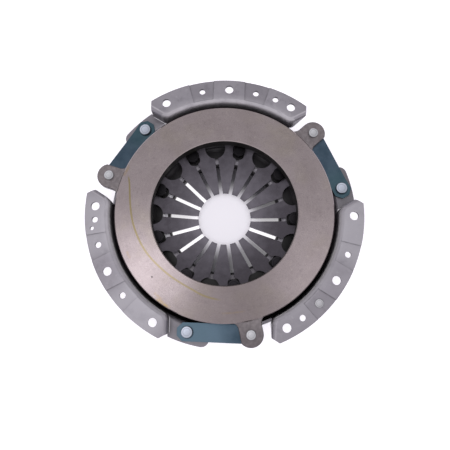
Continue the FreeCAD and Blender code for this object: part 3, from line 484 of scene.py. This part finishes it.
def shaded_platforms(at, colour):
    """The platforms are in shade, the one at the right the most."""
    on_platform = between(at.radius, *PLATFORM_START) * at.platform_level
    on_platform = on_platform * between(at.upward, 0.9, 0.98)
    shade = on_platform * lobe(at.angle, 8, 0.9, 0.98, 0.25, 0.6)
    return blend(shade, colour, PLATFORM_SHADE)


def painted_bend_highlights(at, colour):
    """Painted highlights on the bends, the corners and the flange beside them."""
    bends = band(at.upward, -0.2, 0.1, 0.93, 0.995) * (1.0 - at.on_flange)
    bends = bends * between(at.height, *BEND_Z)
    corners = band(at.upward, 0.9, 0.95, 0.97, 0.999) * at.on_flange
    beside = band(at.radius, *BESIDE_BEND_RADII)
    beside = beside * between(at.upward, 0.9, 0.97, 0.0, 0.4)
    bend_highlight = most(bends, corners, beside)
    bend_highlight = bend_highlight * between(noise(at.spot, 85, detail=4), 0.25, 0.6, 0.3, 0.8)
    # Where a bend looks up, the painted highlight is strongest at the upper left.
    painted_light = between(maths("MULTIPLY_ADD", at.x, -0.6, at.y), -0.02, 0.07, 0.3, 0.8)
    bend_highlight = bend_highlight * most(painted_light, between(at.upward, 0.5, 0.8, 1.0, 0.0))
    colour = blend(bend_highlight, colour, BEND_HIGHLIGHT)
    # Painted highlight: the wall's side of the bend is lighter in the lower half of the
    # picture.
    lower = band(at.upward, -0.2, 0.1, 0.35, 0.65) * between(at.y, 0.03, -0.03, 0.0, 0.7)
    lower = lower * band(at.radius, *BEND_RADII)
    lower = lower * between(at.height, *LOWER_BEND_Z)
    return blend(lower, colour, WALL_BEND_HIGHLIGHT)


def end_wall_shade_and_highlight(at, colour):
    """Painted shade darkens an end wall downwards, and a painted highlight makes the bend at
    its foot a bright line.
    """
    past_end = at.across * math.sin(END_SLOPE) - at.along * math.cos(END_SLOPE)
    past_end = past_end - WALL_OUTSIDE * math.sin(END_SLOPE + END_CORNER - math.pi / 2)
    upright = between(abs(at.upward), 0.4, 0.8, 1.0, 0.0)
    upright = upright * between(at.radius, *END_WALL_START)
    upright = upright * band(past_end, *END_WALL_BAND)
    outward = dot(at.normal, at.spot) / at.radius
    upright = upright * between(abs(outward), 0.6, 0.9, 1.0, 0.0)
    upright = upright * between(at.height, *END_SHADE_Z, 0.0, 0.88)
    colour = blend(upright, colour, END_WALL_SHADE)
    foot = band(past_end, *FOOT_BAND) * at.platform_level
    foot = foot * band(at.radius, *FOOT_RADII)
    return blend(foot, colour, FOOT_HIGHLIGHT)


def shade_inside_cover(at, colour):
    """Painted shade inside the cover, except on the outward bend of the rear lip, which gets a
    painted highlight at the left and painted shade towards the bottom.
    """
    inside = between(at.smooth_upward, -0.1, 0.05) * between(at.height, *INSIDE_Z)
    lit = lobe(at.angle, 182, 0.8, 0.97) * 0.85
    shaded = lobe(at.angle, 265, 0.6, 0.9) * 0.6
    colour = blend(inside * lit, colour, LIP_LIT)
    colour = blend(inside * shaded, colour, LIP_SHADE)
    off_lip = maths("ADD", between(at.radius, *LIP_INNER_EDGE),
                    between(at.radius, *LIP_OUTER_EDGE), clamp=True)
    # Painted shade inside the cover, darker below.
    dark = blend(between(at.y, -0.02, 0.03), INSIDE_SHADE_BELOW, INSIDE_SHADE_ABOVE)
    return blend(inside * off_lip, colour, dark)


def pressed_steel():
    """Cover sheet: satin grey with soft stains and scuffs, painted highlights on its bends and
    flange, and painted shade on its edges, end walls, platforms and inside.
    """
    material, tree, shader = new_material("pressed_steel", 0.37, metallic=0.55)
    at = cover_places(tree)
    clouds = noise(at.spot, 28, detail=4)
    grain = noise(at.spot, 900, detail=2)
    colour = stained_sheet(at, clouds)
    for step in (shaded_cut_edges, balance_pads, flange_glare, shaded_platforms, painted_bend_highlights,
                 end_wall_shade_and_highlight, shade_inside_cover):
        colour = step(at, colour)
    connect(colour, shader.inputs["Base Color"])
    vary_roughness(shader, (clouds, 0.16), (grain, 0.14))
    bump(shader, grain, 0.12, 0.00008)
    return material


# Pressure plate

def oil_run(spot, radius):
    """Thin dried run of oil over the lower left of the friction face."""
    x, y, _ = split(spot)
    first, last = OIL_ROUTE[0][0], OIL_ROUTE[-1][0]
    low, high = OIL_SPAN
    along = node_beside("ShaderNodeMapRange", x)
    connect(maths("ARCTAN2", -y, -x), along.inputs["Value"])
    along.inputs["From Min"].default_value = math.radians(first)
    along.inputs["From Max"].default_value = math.radians(last)
    along = Field(along.outputs[0])
    route = node_beside("ShaderNodeFloatCurve", along)
    points = route.mapping.curves[0].points
    for _ in OIL_ROUTE[2:]:
        points.new(0.5, 0.5)
    for point, (turn, distance) in zip(points, OIL_ROUTE):
        point.location = ((turn - first) / (last - first), (distance - low) / (high - low))
    route.mapping.update()
    connect(along, route.inputs["Value"])
    line = maths("MULTIPLY_ADD", Field(route.outputs[0]), (high - low) / 1000, low / 1000)
    run = between(abs(radius - line), 0.0004, 0.0013, 1.0, 0.0)
    run = run * band(along, 0.0, 0.02, 0.93, 1.0)
    return run * between(along, 0.3, 0.45, 0.85, 0.7)


def friction_face(spot, radius, angle, clouds, speckle):
    """Ground iron, pink and sallow by turns, with marks from grinding, oil and rust."""
    cloudy = between(clouds, 0.3, 0.7)
    pink = blend(cloudy, *FACE_PINK)
    sallow = blend(cloudy, *FACE_SALLOW)
    face = blend(between(noise(spot, 19, detail=3), 0.3, 0.5), sallow, pink)
    face = blend(between(speckle, 0.35, 0.75, 0.0, 0.65), face, FACE_SPECKLE)
    pores = noise(spot, 800, detail=4, roughness=0.75)
    face = blend(between(pores, 0.34, 0.46, 0.45, 0.0), face, FACE_PORE)
    mottle = noise(spot, 210, detail=3)
    face = blend(between(mottle, 0.42, 0.3, 0.0, 0.3), face, FACE_MOTTLE_DARK)
    face = blend(between(mottle, 0.56, 0.7, 0.0, 0.3), face, FACE_MOTTLE_LIGHT)

    # Streaks run round the axis: the noise is stretched along the angle.
    around_axis = node_beside("ShaderNodeCombineXYZ", radius)
    connect(radius * 700.0, around_axis.inputs[0])
    connect(angle * 2.2, around_axis.inputs[1])
    streaks = noise(Field(around_axis.outputs[0]), 1.0, detail=3)
    face = blend(between(streaks, 0.5, 0.72) * 0.22, face, FACE_STREAK)

    # Darker towards the bottom of the face, about 276 and 305 degrees.
    darker_below = lobe(angle, 276, 0.8, 0.99) * 0.38 + lobe(angle, 305, 0.78, 0.97) * 0.1
    face = blend(darker_below, face, FACE_DARKER_BELOW)
    face = blend(oil_run(spot, radius), face, OIL)
    ragged = between(noise(spot, 380, detail=4), 0.3, 0.6, 0.15, 1.0)
    for middle, reach, distance, depth, strength in RUST_STAINS:
        stain = lobe(angle, middle, math.cos(math.radians(reach)),
                     math.cos(math.radians(0.3 * reach)))
        stain = stain * around(radius, distance / 1000, depth / 1000, 0.0)
        face = blend(stain * ragged * strength, face, RUST)
    centre = (PIT_RADIUS * math.cos(PIT_ANGLE), PIT_RADIUS * math.sin(PIT_ANGLE),
              FRICTION_FACE_Z)
    return blend(near(spot, centre, 0.0004, 0.0012), face, PIT)


def cast_sides(spot, radius, upward):
    """Cast lugs, flank and bore: darker below, with painted shade on the ears' edges and in
    the bore.
    """
    _, y, height = split(spot)
    cast = blend(between(noise(spot, 260, detail=4), 0.35, 0.7), *CAST)
    cast = blend(between(y, *CAST_BELOW_Y, 0.0, 0.35), cast, CAST_BELOW)
    ear_edge_shade = band(upward, 0.25, 0.5, 0.9, 0.98)
    ear_edge_shade = ear_edge_shade * between(radius, *EAR_START, 0.0, 0.65)
    cast = blend(ear_edge_shade, cast, EAR_EDGE_SHADE)
    in_bore = between(radius, PLATE_BORE + 0.0016, PLATE_BORE + 0.0006)
    in_bore = in_bore * between(height, FRICTION_FACE_Z - 0.0003, FRICTION_FACE_Z - 0.0012)
    return blend(in_bore, cast, BORE_WALL_SHADE)


def ground_iron():
    """Pressure plate: ground friction face, with darker cast lugs and sides."""
    material, tree, shader = new_material("ground_iron", FACE_ROUGHNESS)
    spot = place(tree)
    radius, angle = radius_and_angle(spot)
    height = split(spot)[2]
    on_face = between(height, FRICTION_FACE_Z - 0.0012, FRICTION_FACE_Z - 0.0006)
    clouds = noise(spot, 34, detail=5)
    speckle = noise(spot, 1300, detail=2, roughness=0.7)
    turning = noise(radius, 2400, detail=2)
    colour = blend(on_face, cast_sides(spot, radius, split(normal(tree))[2]),
                   friction_face(spot, radius, angle, clouds, speckle))
    connect(colour, shader.inputs["Base Color"])
    face_rough = vary(FACE_ROUGHNESS, (speckle, 0.1)) * on_face
    cast_rough = vary(CAST_ROUGHNESS, (clouds, 0.1)) * (1.0 - on_face)
    connect(face_rough + cast_rough, shader.inputs["Roughness"])
    bump(shader, turning * on_face + speckle * 0.5, 0.1, 0.00005)
    return material


# Diaphragm spring, rings, straps and rivets

def dark_steel(name, dark, light):
    """Hardened spring steel. Painted light makes it a little lighter towards the finger tips
    and at the lower left, painted shade darkens the lower right, and a painted reflection
    pales the slots' sides.
    """
    material, tree, shader = new_material(name, 0.5)
    spot = place(tree)
    radius, angle = radius_and_angle(spot)
    mottle = noise(spot, 110, detail=5)
    grain = noise(spot, 1100, detail=2)
    specks = between(noise(spot, 1500, detail=3, roughness=0.8), 0.58, 0.74)
    # Painted light towards the finger tips and at the lower left, painted shade at the lower
    # right.
    share = between(radius, 0.07, 0.03, 0.0, 0.52) + between(mottle, 0.3, 0.75, 0.0, 0.28)
    darker_below = lobe(angle, 325, 0.5, 0.9) * between(radius, 0.038, 0.043, 0.0, 0.2)
    painted_light = lobe(angle, 215, 0.2, 0.95) * between(radius, 0.042, 0.034, 0.0, 0.2)
    painted_light = painted_light + between(radius, 0.040, 0.033, 0.0, 0.08)
    colour = blend(maths("ADD", share - darker_below, painted_light, clamp=True), dark, light)
    paler = scaled(light, 1.6)
    colour = blend(specks * 0.3, colour, paler)
    # Painted reflection: the upright sides of the slots are paler.
    sides = between(abs(split(normal(tree))[2]), 0.2, 0.5, 0.7, 0.0)
    connect(blend(sides, colour, paler), shader.inputs["Base Color"])
    vary_roughness(shader, (grain, 0.16))
    bump(shader, grain, 0.12, 0.00005)
    return material


def blued_steel():
    """Tempered strap steel, blue near the lugs and greener near the cover rivets."""
    material, tree, shader = new_material("blued_steel", 0.34)
    spot = place(tree)
    x, y, _ = split(spot)
    mottle = between(noise(spot, 60, detail=4), 0.3, 0.7)
    grain = noise(spot, 1400, detail=2)
    rivets = [middle_of(f"cover_rivet_{number}") for number in (1, 2, 3)]
    at_rivet = most(*[near(spot, tuple(centre), 0.008, 0.032) for centre in rivets])
    colour = blend(at_rivet, blend(mottle, *STRAP_BLUE), blend(mottle, *STRAP_GREEN))
    # The lowest strap reflects more light, most of it at its left.
    sheen = between(y, -0.06, -0.13, 0.0, 0.7) * between(x, -0.006, 0.018, 1.0, 0.1)
    colour = blend(sheen, colour, STRAP_SHEEN)
    # Each rivet's head shades the strap at its lower right.
    shaded = [(centre.x + 0.0006, centre.y - 0.0005, centre.z) for centre in rivets]
    shadow = most(*[near(spot, centre, 0.0062, 0.0074) for centre in shaded])
    colour = blend(shadow * 0.7, colour, STRAP_SHADOW)
    connect(colour, shader.inputs["Base Color"])
    vary_roughness(shader, (grain, 0.14))
    bump(shader, grain, 0.08, 0.00004)
    return material


def rivet_steel(name, colour, roughness):
    """Upset rivet: painted light from the upper left, with a faint ring where the set pressed
    it and a painted shadow at its rim."""
    material, tree, shader = new_material(name, roughness)
    x, y, _ = split(place(tree, "Generated"))
    from_middle = maths("SQRT", abs(x - 0.5) ** 2.0 + abs(y - 0.5) ** 2.0)
    ring = between(from_middle, 0.27, 0.32) * between(from_middle, 0.38, 0.33)
    rim = between(from_middle, 0.43, 0.49)
    grain = noise(place(tree), 1000, detail=3)
    lit = blend(between(x - y, -0.6, 0.6), scaled(colour, 1.15), scaled(colour, 0.8))
    share = ring * 0.6 + between(grain, 0.35, 0.8, 0.0, 0.28)
    share = maths("ADD", share, rim * 0.8, clamp=True)
    connect(blend(share, lit, scaled(colour, 0.5)), shader.inputs["Base Color"])
    bump(shader, grain - ring, 0.15, 0.00006)
    return material


# Pieces copied from the solids: the straps and the spring

def copy_of(name, sources, material):
    """One mesh from the solids of several nodes, in the same place: welded, and smooth
    except at its sharp edges."""
    mesh = bpy.data.meshes.new(name)
    piece = bpy.data.objects.new(name, mesh)
    vertices, faces = [], []
    for source in sources:
        start = len(vertices)
        data = nodes[source].data
        vertices += [tuple(vertex.co) for vertex in data.vertices]
        faces += [[start + corner for corner in face.vertices] for face in data.polygons]
    mesh.from_pydata(vertices, [], faces)
    mesh.materials.append(material)
    bpy.context.scene.collection.objects.link(piece)

    work = bmesh.new()
    work.from_mesh(mesh)
    bmesh.ops.remove_doubles(work, verts=work.verts, dist=1e-6)
    work.to_mesh(mesh)
    work.free()

    bpy.context.view_layer.objects.active = piece
    piece.select_set(True)
    bpy.ops.object.shade_smooth_by_angle(angle=math.radians(30))
    piece.select_set(False)
    return piece


def add_straps(material):
    for number in (1, 2, 3):
        leaves = [f"strap_{number}_leaf_{layer}" for layer in (1, 2, 3)]
        strap = copy_of(f"strap_{number}", leaves, material)
        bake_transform(strap)
        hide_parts(*leaves)


def add_spring(material):
    spring = copy_of("diaphragm", ["diaphragm_spring"], material)
    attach(spring, "cover")
    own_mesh(spring)
    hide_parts("diaphragm_spring")


# Floor, light and camera

def floor_white():
    """White floor. It is in shade under the spring, less so below in the picture, and lit
    through some of the slots."""
    material, tree, shader = new_material("floor_white", 0.9, metallic=0.0)
    shader.inputs["Specular IOR Level"].default_value = 0.0
    shader.inputs["Emission Color"].default_value = FLOOR_LIGHT
    spot = place(tree)
    radius, angle = radius_and_angle(spot)
    y = split(spot)[1]
    shaded = band(radius, *FLOOR_SHADE_RADII)
    shade = blend(between(y, -0.02, 0.03), FLOOR_SHADE_BELOW, FLOOR_SHADE_ABOVE)
    connect(blend(shaded, FLOOR_COLOUR, shade), shader.inputs["Base Color"])
    lit = most(*[lobe(angle, *row) * share for *row, share in SLOT_LIGHT])
    in_slots = band(radius, *SLOT_RADII)
    outside = (1.0 - shaded) * between(radius, 0.05, 0.1, *FLOOR_GLOW)
    glow = rays_seen(tree) * most(in_slots * lit, outside)
    connect(glow, shader.inputs["Emission Strength"])
    return material


def add_floor():
    mesh = bpy.data.meshes.new("floor")
    reach = 3.0
    mesh.from_pydata([(-reach, -reach, FLOOR_Z), (reach, -reach, FLOOR_Z),
                      (reach, reach, FLOOR_Z), (-reach, reach, FLOOR_Z)], [], [(0, 1, 2, 3)])
    mesh.materials.append(floor_white())
    floor = bpy.data.objects.new("floor", mesh)
    bpy.context.scene.collection.objects.link(floor)


def light_world():
    """White studio, a little brighter half way up and darker towards the floor. The camera
    sees it at full white, and metal a little brighter than its light."""
    world = bpy.data.worlds.new("studio")
    bpy.context.scene.world = world
    world.use_nodes = True
    tree = world.node_tree
    background = tree.nodes["Background"]
    background.inputs["Color"].default_value = (1.0, 1.0, 1.0, 1.0)
    x, y, height = split(place(tree, "Generated"))
    level = between(height, 0.05, 0.45, 0.74, 1.1) - between(height, 0.6, 0.92, 0.0, 0.22)
    slant = maths("MULTIPLY_ADD", y, -0.17, maths("MULTIPLY_ADD", x, 0.05, 1.0))
    strength = maths("MULTIPLY_ADD", rays_seen(tree), 0.1, level * slant)
    path = tree.nodes.new("ShaderNodeLightPath")
    strength = most(strength, Field(path.outputs["Is Camera Ray"]))
    connect(strength, background.inputs["Strength"])


def add_lamp(name, spot, size, power):
    """Square soft light that points at the origin. Its size is in metres and its power in
    watts."""
    lamp = bpy.data.lights.new(name, "AREA")
    lamp.size = size
    lamp.energy = power
    holder = bpy.data.objects.new(name, lamp)
    holder.location = spot
    holder.rotation_euler = (-Vector(spot)).to_track_quat("-Z", "Y").to_euler()
    bpy.context.scene.collection.objects.link(holder)


def add_camera():
    camera = bpy.data.cameras.new("camera")
    camera.lens = CAMERA_LENS
    camera.sensor_width = 36.0
    camera.clip_start = 0.01
    holder = bpy.data.objects.new("camera", camera)
    holder.location = CAMERA_PLACE
    holder.rotation_euler = [math.radians(turn) for turn in CAMERA_TURN]
    bpy.context.scene.collection.objects.link(holder)
    bpy.context.scene.camera = holder


paint(["cover"], pressed_steel())
paint(["pressure_plate"], ground_iron())
paint(["front_fulcrum_ring", "rear_fulcrum_ring"], dark_steel("ring_steel", *RING_STEEL))
paint(named("spring_rivet"), rivet_steel("dark_rivet_steel", SPRING_RIVET, 0.42))
paint(named("cover_rivet"), rivet_steel("cover_rivet_steel", COVER_RIVET, 0.3))
paint(named("lug_rivet"), rivet_steel("lug_rivet_steel", LUG_RIVET, 0.3))
paint(["balance_rivet"], rivet_steel("balance_rivet_steel", BALANCE_RIVET, 0.32))
add_straps(blued_steel())
add_spring(dark_steel("spring_steel", *SPRING_STEEL))

add_floor()
light_world()
add_lamp("left_softbox", (-0.25, 0.01, 1.0), 0.2, 0.5)
add_lamp("right_softbox", (0.31, 0.0, 1.0), 0.26, 0.2)
add_camera()
bpy.context.scene.view_settings.view_transform = "Standard"
